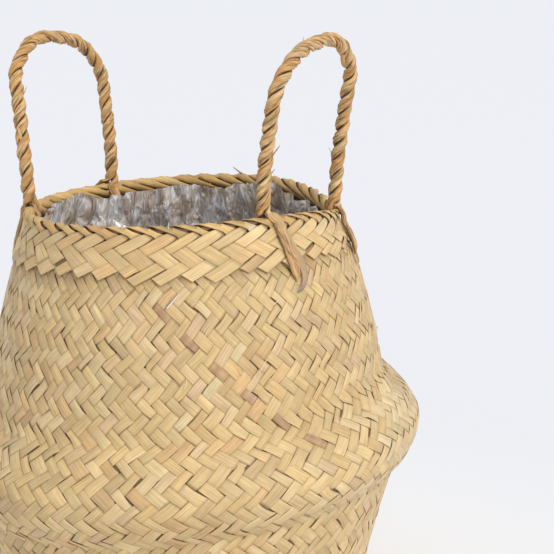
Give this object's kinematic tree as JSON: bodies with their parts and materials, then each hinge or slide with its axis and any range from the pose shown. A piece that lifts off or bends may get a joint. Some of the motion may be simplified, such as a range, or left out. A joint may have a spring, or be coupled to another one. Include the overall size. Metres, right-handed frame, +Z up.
{
  "type": "belly basket",
  "caption": "Plaited leaf-strip basket with a soft bulging belly, a folded rim, twisted rope handles that fold in or out, and a clear liner bag.",
  "frame": {"origin": "centre of the base, on the floor", "axes": "+Z up along the basket's axis; the handles stand over +X and -X"},
  "size_m": [0.35, 0.35, 0.4442],
  "materials": {
    "leaf_strip": "dry plaited leaf strips, matt with a faint sheen",
    "leaf_rope": "twisted dry leaf, matt",
    "liner_film": "clear thin film, creased"
  },
  "bodies": {
    "basket": {"base_mat": "leaf_strip", "lower_wall": "leaf_strip", "belly_underside": "leaf_strip", "belly_shoulder": "leaf_strip", "upper_wall": "leaf_strip", "border_band": "leaf_strip", "rim_edge": "leaf_strip", "plastic_liner": "liner_film", "right_front_outer_strand": "leaf_rope", "right_front_inner_strand": "leaf_rope", "right_rear_outer_strand": "leaf_rope", "right_rear_inner_strand": "leaf_rope", "left_front_outer_strand": "leaf_rope", "left_front_inner_strand": "leaf_rope", "left_rear_outer_strand": "leaf_rope", "left_rear_inner_strand": "leaf_rope"},
    "handle_right": {"handle_rope_right": "leaf_rope"},
    "handle_left": {"handle_rope_left": "leaf_rope"}
  },
  "joints": [
    {"name": "right_handle_fold", "type": "hinge", "parent": "basket", "child": "handle_right", "pos_m": [0.0974, 0, 0.33495], "axis": [0, 1, 0], "range_deg": [-140, 120]},
    {"name": "left_handle_fold", "type": "hinge", "parent": "basket", "child": "handle_left", "pos_m": [-0.0974, 0, 0.32942], "axis": [0, -1, 0], "range_deg": [-140, 120]}
  ]
}
